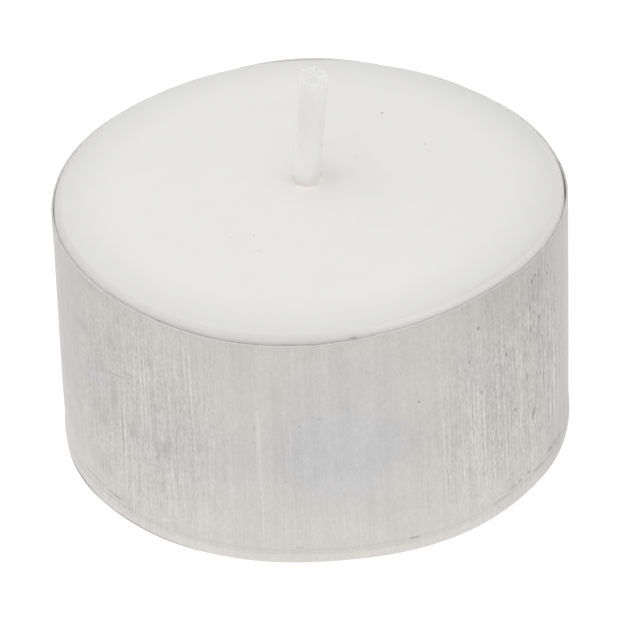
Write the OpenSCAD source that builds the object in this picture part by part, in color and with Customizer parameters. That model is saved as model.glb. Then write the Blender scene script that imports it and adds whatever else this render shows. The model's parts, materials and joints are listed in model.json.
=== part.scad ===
// Tea light candle: a drawn aluminium cup, a pressed wax tablet, a waxed wick and the
// steel disc that holds the wick's foot. Z is up and the candle stands on Z = 0, with
// the cup's axis on the Z axis.

/* [Cup] */
// Outside diameter of the straight wall
cup_d = 38; // [30:0.5:60]
// Height of the cup, from the ground to the rim
cup_h = 19.4; // [12:0.2:30]
// Thickness of the aluminium sheet
sheet_t = 0.15; // [0.1:0.01:0.25]
// Tight side radius of every bend in the sheet
bend_r = 0.12; // [0.08:0.01:0.2]

/* [Foot of the cup] */
// Height of the groove above the ground
groove_z = 1; // [0.9:0.05:2]
// Depth of the groove below the wall
groove_depth = 0.12; // [0.05:0.01:0.25]
// Half of the groove's width
groove_half_w = 0.24; // [0.2:0.01:0.35]
// How far the foot bead stands out past the wall
bead_proud = 0.05; // [0:0.01:0.15]
// Tight side radius of the corner under the bead
corner_r = 0.25; // [0.15:0.01:0.35]
// Width of the ring that the cup stands on, with the slope inside it
ring_w = 2.8; // [1.6:0.1:5]
// Width of the slope from the ring up to the base panel
slope_w = 1; // [0.6:0.1:1.4]
// Height of the base panel above the ground
panel_rise = 0.6; // [0.3:0.05:1]

/* [Wax] */
// Gap between the wax and the cup's wall
wax_gap = 0.15; // [0.05:0.01:0.5]
// How far the middle of the wax stands above the rim
wax_rise = 1.45; // [0:0.05:2.5]
// Rise of the domed top from its edge to its middle
crown = 1; // [0.2:0.05:2]
// How far the bevel under the wax reaches past the cup's groove
bevel_past_groove = 0.1; // [0.05:0.05:1]
// Radius of the wax's rounded top edge
shoulder_r = 0.8; // [0.3:0.05:2]
// Gap between the wick and its hole, where they come closest
hole_gap = 0.02; // [0.01:0.01:0.4]
// How far the hole's middle lies from the wick's foot, along X
hole_shift = 0.13; // [0:0.01:0.3]

/* [Wick] */
// Diameter of the waxed wick
wick_d = 2; // [1:0.1:3]
// Length of wick that stands out of the wax
wick_out = 9.3; // [3:0.1:20]
// Lean of the free end from upright, towards +X
wick_lean = 5.3; // [0.5:0.1:8]
// Depth below the wax's top at which the wick's bend ends
bend_depth = 0.1; // [0:0.05:1]
// Radius of the wick's bend along its middle
wick_bend_r = 12; // [6:0.5:20]
// Place of the wick from the candle's axis, along X
wick_x = -0.1; // [-1:0.05:1]
// Place of the wick from the candle's axis, along Y
wick_y = 0.5; // [-1:0.05:1]
// Rounding of the wick's cut end
tip_round = 0.12; // [0.05:0.01:0.3]

/* [Wick sustainer] */
// Diameter of the steel disc
disc_d = 14; // [9:0.5:20]
// Thickness of the steel
steel_t = 0.25; // [0.15:0.01:0.4]
// Height of the neck above the disc's underside
neck_h = 3.2; // [2:0.1:6]
// Gap between the wick and the neck
neck_gap = 0.06; // [0.03:0.01:0.1]
// Gap between the sustainer and its pocket in the wax
pocket_gap = 0.15; // [0.1:0.01:0.4]

/* [Hidden] */
$fn = 180;

// Number of straight steps in a bend of the sheet
BEND_STEPS = 6;
// Number of steps across the dome of the wax
DOME_STEPS = 24;
// How far a cutting cylinder reaches past the surface
CUT_PAST = 1;
// Number of sides of the wick, and of steps along its bend and round its end
WICK_SIDES = 32;
WICK_BEND_STEPS = 6;
WICK_TIP_STEPS = 3;

wall_r = cup_d / 2;
wall_inner_r = wall_r - sheet_t;
foot_r = wall_r + bead_proud;
panel_r = foot_r - ring_w;
floor_z = panel_rise + sheet_t;

wax_r = wall_inner_r - wax_gap;
wax_top = cup_h + wax_rise;
wax_bevel = groove_z + groove_half_w + bevel_past_groove - floor_z;
// The top is part of a sphere. With a sharp edge it would meet the side one crown below the middle.
dome_r = (wax_r * wax_r + crown * crown) / (2 * crown);
dome_centre_z = wax_top - dome_r;
// The rounded edge touches the sphere from inside, so one line joins both centres and that point.
shoulder_centre_r = wax_r - shoulder_r;
shoulder_reach = dome_r - shoulder_r;
shoulder_centre_z = dome_centre_z
    + sqrt(shoulder_reach * shoulder_reach - shoulder_centre_r * shoulder_centre_r);
dome_edge_angle = asin(shoulder_centre_r / shoulder_reach);

wick_r = wick_d / 2;
neck_inner_r = wick_r + neck_gap;
neck_r = neck_inner_r + steel_t;

// The wick's middle line is upright, then turns through the bend, and leans from there on.
bend_end_z = wax_top - bend_depth;
bend_start_z = bend_end_z - wick_bend_r * sin(wick_lean);
bend_end_x = wick_bend_r * (1 - cos(wick_lean));
mouth_shift = bend_end_x + bend_depth * tan(wick_lean);
free_l = bend_depth / cos(wick_lean) + wick_out;
hole_r = wick_r + max(hole_shift, mouth_shift - hole_shift) + hole_gap;

function unit(v) = v / norm(v);
function left_of(v) = [-v[1], v[0]];

// Corner b of a line a, b, c moved by d to the line's left, so that both sides move by d.
function moved_corner(a, b, c, d) =
    let (n1 = left_of(unit(b - a)), n2 = left_of(unit(c - b)))
    b + d * (n1 + n2) / (1 + n1 * n2);

// Points of the arc of radius r that rounds corner b of the line a, b, c.
function rounded_corner(a, b, c, r) =
    let (
        u = unit(a - b),
        v = unit(c - b),
        half = acos(u * v) / 2,
        centre = b + unit(u + v) * r / sin(half),
        from = b + u * r / tan(half) - centre,
        to = b + v * r / tan(half) - centre,
        start = atan2(from[1], from[0]),
        sweep = atan2(from[0] * to[1] - from[1] * to[0], from * to)
    )
    [for (i = [0 : BEND_STEPS])
        let (angle = start + sweep * i / BEND_STEPS)
        centre + r * [cos(angle), sin(angle)]];

// One face of a folded sheet: the line of corners moved by d to its left and rounded. Each corner is
// [r, z, tight radius], and t is how much more the bend's wide side has.
function sheet_face(corners, d, t) =
    let (
        p = [for (c = corners) [c[0], c[1]]],
        n = len(p),
        moved = [
            p[0] + d * left_of(unit(p[1] - p[0])),
            for (i = [1 : n - 2]) moved_corner(p[i - 1], p[i], p[i + 1], d),
            p[n - 1] + d * left_of(unit(p[n - 1] - p[n - 2]))
        ]
    )
    [
        moved[0],
        for (i = [1 : n - 2])
            let (
                turn = cross(p[i] - p[i - 1], p[i + 1] - p[i]),
                wide = turn > 0 ? d == 0 : d != 0
            )
            each rounded_corner(moved[i - 1], moved[i], moved[i + 1], corners[i][2] + (wide ? t : 0)),
        moved[n - 1]
    ];

// Section of a sheet of thickness t that lies on the left of its line of corners.
module sheet_section(corners, t) {
    outside = sheet_face(corners, 0, t);
    inside = sheet_face(corners, t, t);
    polygon(concat(outside, [for (i = [len(inside) - 1 : -1 : 0]) inside[i]]));
}

// The outside of the cup, from the middle of its base, out and up to the rim.
cup_corners = [
    [0, panel_rise, 0],
    [panel_r, panel_rise, bend_r],
    [panel_r + slope_w, 0, bend_r],
    [foot_r, 0, corner_r],
    [foot_r, groove_z - groove_half_w, bend_r],
    [wall_r - groove_depth, groove_z, bend_r],
    [wall_r, groove_z + groove_half_w, bend_r],
    [wall_r, cup_h, 0]
];

module cup() {
    color("silver")
        rotate_extrude()
            sheet_section(cup_corners, sheet_t);
}

// Half section of the wax tablet: bevelled under, rounded at the top edge and domed.
module wax_section() {
    polygon([
        [0, floor_z],
        [wax_r - wax_bevel, floor_z],
        [wax_r, floor_z + wax_bevel],
        [wax_r, shoulder_centre_z],
        [0, shoulder_centre_z]
    ]);
    translate([shoulder_centre_r, shoulder_centre_z])
        intersection() {
            circle(r = shoulder_r);
            square(shoulder_r);
        }
    polygon([
        [0, shoulder_centre_z],
        [shoulder_centre_r, shoulder_centre_z],
        for (i = [0 : DOME_STEPS])
            let (angle = dome_edge_angle * (1 - i / DOME_STEPS))
            [dome_r * sin(angle), dome_centre_z + dome_r * cos(angle)]
    ]);
}

module wax() {
    color("white")
        difference() {
            rotate_extrude()
                wax_section();
            translate([wick_x, wick_y, 0]) {
                translate([hole_shift, 0, 0])
                    cylinder(r = hole_r, h = wax_top + CUT_PAST);
                cylinder(r = neck_r + pocket_gap, h = floor_z + neck_h + pocket_gap);
                cylinder(d = disc_d + 2 * pocket_gap, h = floor_z + steel_t + pocket_gap);
            }
        }
}

// Stations along the wick as [along X, height, lean, radius]: the upright foot, the bend, the free end.
function free_station(along, r) =
    [bend_end_x + along * sin(wick_lean), bend_end_z + along * cos(wick_lean), wick_lean, r];
wick_stations = [
    [0, floor_z, 0, wick_r],
    for (i = [0 : WICK_BEND_STEPS])
        let (angle = wick_lean * i / WICK_BEND_STEPS)
        [wick_bend_r * (1 - cos(angle)), bend_start_z + wick_bend_r * sin(angle), angle, wick_r],
    for (i = [0 : WICK_TIP_STEPS])
        let (angle = 90 * i / WICK_TIP_STEPS)
        free_station(free_l - tip_round * (1 - sin(angle)), wick_r - tip_round * (1 - cos(angle)))
];

function wick_ring(s) =
    [for (i = [0 : WICK_SIDES - 1])
        let (around = 360 * i / WICK_SIDES)
        [
            s[0] + s[3] * cos(around) * cos(s[2]),
            s[3] * sin(around),
            s[1] - s[3] * cos(around) * sin(s[2])
        ]];

module wick() {
    rings = len(wick_stations);
    side = WICK_SIDES;
    color("ivory")
        translate([wick_x, wick_y, 0])
            polyhedron(
                points = [for (s = wick_stations) each wick_ring(s)],
                faces = [
                    [for (i = [0 : side - 1]) i],
                    for (k = [0 : rings - 2], i = [0 : side - 1])
                        [
                            k * side + i,
                            (k + 1) * side + i,
                            (k + 1) * side + (i + 1) % side,
                            k * side + (i + 1) % side
                        ],
                    [for (i = [side - 1 : -1 : 0]) (rings - 1) * side + i]
                ]
            );
}

// The steel from the disc's edge in to the neck and up it, lying on the right of the neck's inside.
sustainer_corners = [
    [disc_d / 2, 0, 0],
    [neck_inner_r, 0, bend_r],
    [neck_inner_r, neck_h, 0]
];

module wick_sustainer() {
    color("gainsboro")
        translate([wick_x, wick_y, floor_z])
            rotate_extrude()
                mirror([1, 0])
                    sheet_section([for (c = sustainer_corners) [-c[0], c[1], c[2]]], steel_t);
}

cup();
wax();
wick();
wick_sustainer();
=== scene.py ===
# Tea light candle: a drawn aluminium cup, a pressed wax tablet and a waxed braided wick,
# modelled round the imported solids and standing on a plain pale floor.

import json
import math
import random

import bmesh
import bpy
from bpy.props import FloatProperty, FloatVectorProperty, IntProperty, PointerProperty
from bpy.types import Operator, Panel, PropertyGroup
from mathutils import Matrix, Vector, noise


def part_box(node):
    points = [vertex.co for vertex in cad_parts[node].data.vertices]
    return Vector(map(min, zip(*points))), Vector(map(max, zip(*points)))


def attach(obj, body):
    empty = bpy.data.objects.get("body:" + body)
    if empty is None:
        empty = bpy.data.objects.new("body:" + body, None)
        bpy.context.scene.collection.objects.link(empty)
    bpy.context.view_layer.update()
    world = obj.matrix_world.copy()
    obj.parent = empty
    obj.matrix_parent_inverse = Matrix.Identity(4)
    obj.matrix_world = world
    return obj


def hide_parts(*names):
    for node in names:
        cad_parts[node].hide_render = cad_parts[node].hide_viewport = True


bl_info = {
    "name": "Tea Light Candle",
    "version": (1, 0, 0),
    "blender": (4, 5, 0),
    "location": "View3D > Sidebar > Tea Light",
    "description": "Models a tea light candle round its packed solids, with its finishes and its stage",
    "category": "Add Mesh",
}

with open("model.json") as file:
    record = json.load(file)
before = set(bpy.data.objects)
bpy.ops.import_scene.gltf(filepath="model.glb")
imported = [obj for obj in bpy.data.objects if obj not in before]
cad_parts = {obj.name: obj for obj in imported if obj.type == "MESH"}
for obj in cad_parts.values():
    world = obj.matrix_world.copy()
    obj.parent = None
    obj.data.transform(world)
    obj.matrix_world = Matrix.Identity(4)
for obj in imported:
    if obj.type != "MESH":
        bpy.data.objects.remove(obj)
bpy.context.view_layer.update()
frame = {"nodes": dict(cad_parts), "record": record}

MM = 0.001
MOUNTS = {mount["name"]: mount for mount in frame["record"]["mounts"]}
CUP_LOW, CUP_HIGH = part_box("cup")
WAX_LOW, WAX_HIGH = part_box("wax")
WICK_LOW, WICK_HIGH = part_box("wick")
DISC_LOW, DISC_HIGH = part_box("wick_sustainer")
WALL_R = MOUNTS["cup_wall"]["dims"]["r_mm"] * MM
WICK_R = (WICK_HIGH.y - WICK_LOW.y) / 2
DISC_T = 0.25 * MM
NECK_OUT = 0.31 * MM
WICK_FOOT = Vector((WICK_LOW.x + WICK_R, (WICK_LOW.y + WICK_HIGH.y) / 2, WICK_LOW.z))


def length(name, description, default, low=0.0, high=0.1):
    """A size in metres that the sidebar shows in the scene's units."""
    return FloatProperty(
        name=name, description=description, default=default, min=low, max=high,
        precision=5, unit="LENGTH", subtype="DISTANCE",
    )


def angle(name, description, degrees, low=-math.pi, high=math.pi):
    """An angle that the sidebar shows in degrees."""
    return FloatProperty(
        name=name, description=description, default=math.radians(degrees), min=low, max=high,
        subtype="ANGLE", unit="ROTATION",
    )


def share(name, description, default, low=0.0, high=1.0):
    """A plain number between two limits."""
    return FloatProperty(name=name, description=description, default=default, min=low, max=high)


def colour(name, description, default):
    """A colour in linear light."""
    return FloatVectorProperty(
        name=name, description=description, default=default, min=0.0, max=1.0,
        size=3, subtype="COLOR",
    )


class CupSettings(PropertyGroup):
    """Sizes of the drawn aluminium cup."""

    wall_r: length("Wall radius", "Outside radius of the straight wall", WALL_R)
    foot_r: length("Foot radius", "Outside radius of the bead at the foot", CUP_HIGH.x)
    rim_z: length("Rim height", "Height of the rim above the ground", CUP_HIGH.z)
    sheet_t: length("Sheet thickness", "Thickness of the aluminium", 0.15 * MM)
    bend_r: length("Bend radius", "Tight side radius of a bend in the sheet", 0.12 * MM)
    corner_r: length("Foot corner radius", "Tight side radius of the corner under the bead", 0.08 * MM)
    groove_z: length("Groove height", "Height of the groove above the ground", 1.1 * MM)
    groove_depth: length("Groove depth", "Depth of the groove below the wall", 0.04 * MM)
    groove_half_w: length("Groove half width", "Half of the groove's width", 0.32 * MM)
    groove_r: length("Groove bend radius", "Tight side radius of the groove's soft bends", 1.0 * MM)
    ring_w: length("Standing ring width", "Width of the ring that the cup stands on", 2.8 * MM)
    slope_w: length("Slope width", "Width of the slope up to the base panel", 1.0 * MM)
    edge_r: length("Raw edge radius", "Rounding of the sheet's cut edge at the rim", 0.035 * MM)
    steps: IntProperty(name="Steps", description="Steps of the lathe round the cup", default=360, min=24)


class WaxSettings(PropertyGroup):
    """Sizes of the pressed wax tablet."""

    side_r: length("Side radius", "Radius of the tablet's side", WAX_HIGH.x + 0.14 * MM)
    top_z: length("Top height", "Height of the middle of the domed top", WAX_HIGH.z)
    meet_z: length("Meeting height", "Height at which the top meets the cup", CUP_HIGH.z - 0.02 * MM)
    shoulder_r: length("Shoulder radius", "Radius of the rounded top edge", 0.8 * MM)
    shoulder_end: angle("Shoulder end", "Steepness left where the rounded edge meets the cup", 25.0)
    bevel: length("Bevel", "Width of the bevel under the tablet", 0.59 * MM)
    hole_r: length("Hole radius", "Radius of the wick's hole", 1.10 * MM)
    hole_shift: length("Hole shift", "How far the hole lies from the wick's foot along X", 0.06 * MM)
    mouth_r: length("Mouth rounding", "Rounding of the hole's mouth", 0.05 * MM)
    ledge_w: length("Ledge width", "How far the wax by the wick narrows the hole", 0.075 * MM)
    ledge_drop: length("Ledge drop", "Depth of that wax below the mouth", 0.01 * MM)
    pocket_gap: length("Pocket gap", "Gap round the steel disc and its neck", 0.15 * MM)
    steps: IntProperty(name="Steps", description="Steps of the lathe round the wax", default=288, min=24)


class WickSettings(PropertyGroup):
    """Sizes of the waxed wick."""

    radius: length("Radius", "Radius of the wick", WICK_R)
    lean: angle("Lean", "Lean of the free end towards +X", 5.3)
    bend_r: length("Bend radius", "Radius of the bend along the wick's middle", 12.0 * MM)
    bend_depth: length("Bend depth", "Depth below the wax at which the bend ends", 0.1 * MM)
    ring_step: length("Ring step", "Distance between rings where the wick shows", 0.12 * MM)
    strand_h: length("Strand height", "How far a strand stands out under its coat of wax", 0.022 * MM)
    strand_l: length("Strand length", "Length of one stitch of the braid", 1.25 * MM)
    flare: length("Flare", "How much wider the cut end is", 0.06 * MM)
    cut_drop: length("Cut drop", "Depth of the cut's high side below the wick's top", 0.22 * MM)
    cut_slope: share("Cut slope", "Fall of the cut end for each length across it", 0.22)
    columns: IntProperty(name="Columns", description="Stitches round the wick", default=7, min=3)
    sides: IntProperty(name="Sides", description="Sides of the wick", default=84, min=12)


class FinishSettings(PropertyGroup):
    """Colours of the four materials."""

    warm_metal: colour("Warm metal", "Aluminium where it's bare and drawn", (0.600, 0.574, 0.550))
    cool_metal: colour("Cool metal", "Aluminium where it's smooth", (0.570, 0.565, 0.572))
    wax: colour("Wax", "Paraffin wax", (0.852, 0.846, 0.830))
    wick: colour("Wick", "Waxed cotton", (0.830, 0.826, 0.815))
    wick_foot: colour("Wick's foot", "Waxed cotton where it enters the hole", (0.850, 0.826, 0.785))
    tin: colour("Tin", "Tinned steel of the sustainer", (0.520, 0.520, 0.510))


class StageSettings(PropertyGroup):
    """Floor, light and camera."""

    floor_r: length("Floor radius", "Radius of the pale floor", 1.2, high=10.0)
    sky: share("Sky", "Strength of the even light from all round", 0.56, high=5.0)
    lamp_power: FloatProperty(
        name="Lamp power", description="Power of the soft lamp overhead", default=2.45, min=0.0,
        unit="POWER",
    )
    lamp_size: length("Lamp size", "Side of the square lamp", 0.90, high=5.0)
    lamp_place: FloatVectorProperty(
        name="Lamp place", description="Where the soft lamp hangs", default=(-0.14, -0.09, 0.59),
        size=3, subtype="TRANSLATION", unit="LENGTH",
    )
    floor_glow: share("Floor glow", "Light that the floor gives off", 0.91, high=5.0)
    focus_z: length("Aim height", "Height on the candle's axis that the camera looks at", 9.5 * MM)
    distance: length("Distance", "Distance from the camera to what it looks at", 571.56 * MM, high=10.0)
    elevation: angle("Elevation", "Camera's angle above the floor", 34.04)
    roll: angle("Roll", "Turn of the camera about its own line of sight", -2.316)
    aim_x: length("Aim offset X", "Offset of the aim to the picture's right", -0.238 * MM, low=-0.1)
    aim_y: length("Aim offset Y", "Offset of the aim to the picture's top", -0.015 * MM, low=-0.1)
    focal: share("Focal length", "Focal length in the picture's widths", 7662.6 / 620, high=100.0)


def rest_selection():
    """Leaves edit mode and deselects every object."""
    if bpy.context.object and bpy.context.object.mode != "OBJECT":
        bpy.ops.object.mode_set(mode="OBJECT")
    bpy.ops.object.select_all(action="DESELECT")


def edit(piece):
    """Opens one piece in edit mode, with nothing else selected."""
    rest_selection()
    bpy.context.view_layer.objects.active = piece
    piece.select_set(True)
    bpy.ops.object.mode_set(mode="EDIT")
    bpy.ops.mesh.select_mode(type="VERT")


def pick(piece, test):
    """Selects the vertices of the open piece whose place passes the test."""
    bpy.ops.mesh.select_all(action="DESELECT")
    shape = bmesh.from_edit_mesh(piece.data)
    for vertex in shape.verts:
        vertex.select = test(vertex.co)
    shape.select_flush_mode()
    bmesh.update_edit_mesh(piece.data)


def put_at_origin(piece):
    """Moves a piece's place, turn and size into its mesh."""
    rest_selection()
    bpy.context.view_layer.objects.active = piece
    piece.select_set(True)
    bpy.ops.object.transform_apply(location=True, rotation=True, scale=True)


def draw_line(name, points):
    """Draws a line through points (radius, height) by extruding one vertex along it."""
    rest_selection()
    bpy.ops.mesh.primitive_plane_add(size=MM)
    piece = bpy.context.object
    piece.name = name
    piece.data.name = name
    edit(piece)
    bpy.ops.mesh.select_all(action="SELECT")
    bpy.ops.mesh.merge(type="CENTER")
    places = [Vector((radius, 0.0, height)) for radius, height in points]
    bpy.ops.transform.translate(value=places[0])
    for start, end in zip(places, places[1:]):
        bpy.ops.mesh.extrude_vertices_move(TRANSFORM_OT_translate={"value": end - start})
    return piece


def lathe(name, points, steps):
    """Turns a half section round the Z axis and closes its seam."""
    piece = draw_line(name, points)
    bpy.ops.mesh.select_all(action="SELECT")
    bpy.ops.mesh.spin(steps=steps, angle=math.tau, center=(0.0, 0.0, 0.0), axis=(0.0, 0.0, 1.0))
    bpy.ops.mesh.select_all(action="SELECT")
    bpy.ops.mesh.remove_doubles(threshold=0.002 * MM)
    bpy.ops.mesh.normals_make_consistent(inside=False)
    return piece


def push(piece, centre, move, reach, grip=0.3 * MM):
    """Pushes what lies nearest to a point, and what lies within reach follows softly."""
    nearest = min((vertex.co - centre).length for vertex in bmesh.from_edit_mesh(piece.data).verts)
    pick(piece, lambda place: (place - centre).length < nearest + grip)
    bpy.ops.transform.translate(
        value=move, use_proportional_edit=True, proportional_edit_falloff="SMOOTH",
        proportional_size=reach,
    )


def roughen(piece, grain, height, test):
    """Makes a surface uneven: moves its points along their normals by noise of that grain."""
    normals = [vertex.normal.copy() for vertex in piece.data.vertices]
    for vertex, normal in zip(piece.data.vertices, normals):
        if test(vertex.co):
            vertex.co += normal * height * noise.noise(vertex.co / grain)


def finish_piece(piece, material, replaced, crease=math.radians(35)):
    """Smooths a piece, gives it its material and hangs it under the root body's empty."""
    put_at_origin(piece)
    bpy.ops.object.shade_smooth_by_angle(angle=crease)
    piece.data.materials.clear()
    piece.data.materials.append(material)
    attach(piece, "root")
    if replaced:
        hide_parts(replaced)


def at_angle(around, radius, height):
    """Point at an angle from the front (-Y), counted towards +X."""
    return Vector((radius * math.sin(around), -radius * math.cos(around), height))


# Folded sheet

BEND_STEPS = 6


def left_of(line):
    return Vector((-line.y, line.x))


def moved_corner(before, corner, after, shift):
    """The corner of a line moved to its left, so that both sides move by shift."""
    first = left_of((corner - before).normalized())
    second = left_of((after - corner).normalized())
    return corner + (first + second) * shift / (1 + first.dot(second))


def rounded_corner(before, corner, after, radius):
    """Points of the arc that rounds a corner of a line."""
    back = (before - corner).normalized()
    ahead = (after - corner).normalized()
    half = back.angle(ahead) / 2
    centre = corner + (back + ahead).normalized() * radius / math.sin(half)
    start = corner + back * radius / math.tan(half) - centre
    end = corner + ahead * radius / math.tan(half) - centre
    sweep = math.atan2(start.x * end.y - start.y * end.x, start.dot(end))
    return [
        centre + Matrix.Rotation(sweep * step / BEND_STEPS, 2) @ start
        for step in range(BEND_STEPS + 1)
    ]


def sheet_face(corners, shift, thickness):
    """One face of a folded sheet: the line of corners moved to its left by shift, and rounded.

    Each corner is (radius, height, tight side radius of the bend)."""
    line = [Vector(corner[:2]) for corner in corners]
    last = len(line) - 1
    moved = [line[0] + left_of((line[1] - line[0]).normalized()) * shift]
    moved += [moved_corner(line[i - 1], line[i], line[i + 1], shift) for i in range(1, last)]
    moved.append(line[last] + left_of((line[last] - line[last - 1]).normalized()) * shift)
    face = [moved[0]]
    for i in range(1, last):
        turn = (line[i] - line[i - 1]).cross(line[i + 1] - line[i])
        is_wide = (turn > 0) == (shift == 0)
        radius = corners[i][2] + (thickness if is_wide else 0.0)
        face += rounded_corner(moved[i - 1], moved[i], moved[i + 1], radius)
    face.append(moved[last])
    return face


def arc(centre, radius, start, end, steps):
    """Points (radius, height) along an arc, with angles counted from the outward direction."""
    angles = [start + (end - start) * step / steps for step in range(steps + 1)]
    return [(centre[0] + radius * math.cos(a), centre[1] + radius * math.sin(a)) for a in angles]


# Finishes

class Recipe:
    """The nodes of one material. Its patterns read the piece's own place in millimetres."""

    def __init__(self, name, viewport_colour):
        self.material = bpy.data.materials.new(name)
        self.material.use_nodes = True
        self.material.diffuse_color = (*viewport_colour, 1.0)
        self.tree = self.material.node_tree
        self.shader = self.tree.nodes["Principled BSDF"]
        self.count = 0
        coordinates = self.node("ShaderNodeTexCoord").outputs["Object"]
        self.place = self.vector("DIVIDE", coordinates, (MM, MM, MM))
        split = self.node("ShaderNodeSeparateXYZ")
        self.feed(split.inputs[0], self.place)
        self.x, self.y, self.z = split.outputs

    def node(self, kind, **settings):
        """Adds a node and lays it out in a column of ten."""
        node = self.tree.nodes.new(kind)
        node.location = (-300 - 220 * (self.count // 10), 400 - 180 * (self.count % 10))
        self.count += 1
        for key, value in settings.items():
            setattr(node, key, value)
        return node

    def feed(self, socket, value):
        """Links a socket to another one, or sets its value."""
        if isinstance(value, bpy.types.NodeSocket):
            self.tree.links.new(value, socket)
        else:
            socket.default_value = value

    def fill(self, node, values):
        for socket, value in zip(node.inputs, values):
            self.feed(socket, value)
        return node

    def math(self, operation, *values):
        node = self.node("ShaderNodeMath", operation=operation)
        return self.fill(node, values).outputs[0]

    def vector(self, operation, *values, out="Vector"):
        node = self.node("ShaderNodeVectorMath", operation=operation)
        return self.fill(node, values).outputs[out]

    def distance(self, place, centre):
        return self.vector("DISTANCE", place, centre, out="Value")

    def dot(self, first, second):
        return self.vector("DOT_PRODUCT", first, second, out="Value")

    def combine(self, *values):
        return self.fill(self.node("ShaderNodeCombineXYZ"), values).outputs[0]

    def noise(self, grain, detail, roughness=0.5):
        """Soft noise with a grain of that size along X, Y and Z, in millimetres."""
        place = self.vector("DIVIDE", self.place, grain)
        node = self.node("ShaderNodeTexNoise")
        settings = {"Vector": place, "Scale": 1.0, "Detail": detail, "Roughness": roughness}
        for key, value in settings.items():
            self.feed(node.inputs[key], value)
        return node.outputs[0]

    def rise(self, value, start, end, low=0.0, high=1.0):
        """Runs smoothly from low to high while value goes from start to end."""
        node = self.node("ShaderNodeMapRange", interpolation_type="SMOOTHSTEP")
        return self.fill(node, (value, start, end, low, high)).outputs[0]

    def value(self, term):
        """A value, or the product of a tuple of factors."""
        return self.times(*term) if isinstance(term, tuple) else term

    def add(self, *terms):
        """The sum of terms, each a value or a tuple of factors."""
        total = self.value(terms[0])
        for term in terms[1:]:
            total = self.math("ADD", total, self.value(term))
        return total

    def times(self, *values):
        product = values[0]
        for value in values[1:]:
            product = self.math("MULTIPLY", product, value)
        return product

    def most(self, *terms):
        """The largest of several masks, each a value or a tuple of factors."""
        top = self.value(terms[0])
        for term in terms[1:]:
            top = self.math("MAXIMUM", top, self.value(term))
        return top

    def mark(self, place, centre, half_size, turn=0.0, soft=0.5):
        """1 inside an ellipse, falling to 0 at its edge over the soft share of its size."""
        offset = self.vector("SUBTRACT", place, (*centre, 0.0)[:3])
        if turn:
            node = self.node("ShaderNodeVectorRotate", rotation_type="Z_AXIS")
            self.feed(node.inputs["Vector"], offset)
            self.feed(node.inputs["Angle"], turn)
            offset = node.outputs[0]
        scaled = self.vector("DIVIDE", offset, (*half_size, 1.0)[:3])
        return self.rise(self.distance(scaled, (0.0, 0.0, 0.0)), 1.0, 1.0 - soft)

    def mix(self, share_of_second, first, second):
        node = self.node("ShaderNodeMix", data_type="RGBA")
        self.feed(node.inputs["Factor"], share_of_second)
        for key, value in (("A", first), ("B", second)):
            socket = next(s for s in node.inputs if s.name == key and s.type == "RGBA")
            self.feed(socket, value if isinstance(value, bpy.types.NodeSocket) else (*value, 1.0))
        return next(s for s in node.outputs if s.type == "RGBA")

    def tinted(self, base, factor):
        """A colour made brighter or darker by a factor."""
        node = self.node("ShaderNodeVectorMath", operation="SCALE")
        self.feed(node.inputs[0], base)
        self.feed(node.inputs["Scale"], factor)
        return node.outputs["Vector"]

    def bump(self, height, strength, depth):
        """Relief of that depth in metres."""
        node = self.node("ShaderNodeBump")
        self.feed(node.inputs["Height"], height)
        self.feed(node.inputs["Strength"], strength)
        self.feed(node.inputs["Distance"], depth)
        self.feed(self.shader.inputs["Normal"], node.outputs[0])

    def shade(self, **values):
        """Feeds the shader's sockets, named in small letters with underscores for spaces."""
        for key, value in values.items():
            socket = key.replace("_", " ").title().replace("Ior", "IOR")
            self.feed(self.shader.inputs[socket], value)


# Marks on the cup's wall, as (degrees from the front, height, half width, half height) in mm.
# Slanted ones end with a turn in degrees.
BRIGHT_LINES = (
    (-49.6, 7.2, 0.05, 4.2),
    (-48.0, 7.2, 0.06, 5.8),
    (-44.1, 14.2, 0.06, 5.0),
    (-42.2, 12.0, 0.06, 4.6),
    (-41.0, 12.8, 0.07, 5.8),
    (-37.9, 12.5, 0.05, 4.4),
    (-35.0, 16.0, 0.06, 3.0),
    (-28.6, 15.0, 0.07, 4.8),
    (-22.5, 14.8, 0.06, 2.2),
    (-16.3, 8.0, 0.05, 3.6),
    (-13.1, 10.0, 0.20, 5.2),
    (-12.9, 5.0, 0.09, 4.2),
    (-7.9, 3.0, 0.06, 2.2),
    (-6.2, 10.8, 0.05, 3.8),
    (-5.9, 3.4, 0.06, 2.6),
    (5.0, 3.2, 0.10, 1.8),
    (23.8, 6.2, 0.05, 4.8),
    (28.7, 7.4, 0.08, 6.4),
    (33.6, 5.8, 0.05, 3.8),
    (36.2, 8.0, 0.05, 3.6),
    (37.0, 8.6, 0.05, 3.8),
    (39.8, 8.2, 0.07, 3.8),
    (46.8, 5.8, 0.06, 4.2),
    (47.7, 5.6, 0.07, 3.8),
    (48.8, 14.8, 0.06, 2.0),
    (56.0, 15.0, 0.07, 2.4),
    (63.2, 8.6, 0.08, 3.8),
    (65.4, 5.4, 0.14, 3.0),
    (67.8, 8.6, 0.14, 6.4),
    (70.5, 4.8, 0.18, 2.8),
)
DARK_LINES = (
    (-48.8, 7.6, 0.07, 3.4),
    (-45.9, 8.0, 0.10, 1.0),
    (-43.2, 13.0, 0.05, 4.0),
    (-38.0, 7.2, 0.14, 0.8),
    (-34.6, 8.9, 0.07, 1.1),
    (-33.0, 6.6, 0.05, 4.4),
    (24.1, 3.8, 0.04, 1.9),
    (29.3, 5.0, 0.04, 1.5),
    (36.6, 10.0, 0.05, 4.0),
    (47.2, 5.4, 0.05, 2.4),
    (62.0, 9.0, 0.10, 4.6),
    (64.3, 5.6, 0.08, 3.4),
    (66.6, 5.0, 0.08, 3.2),
)
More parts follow.
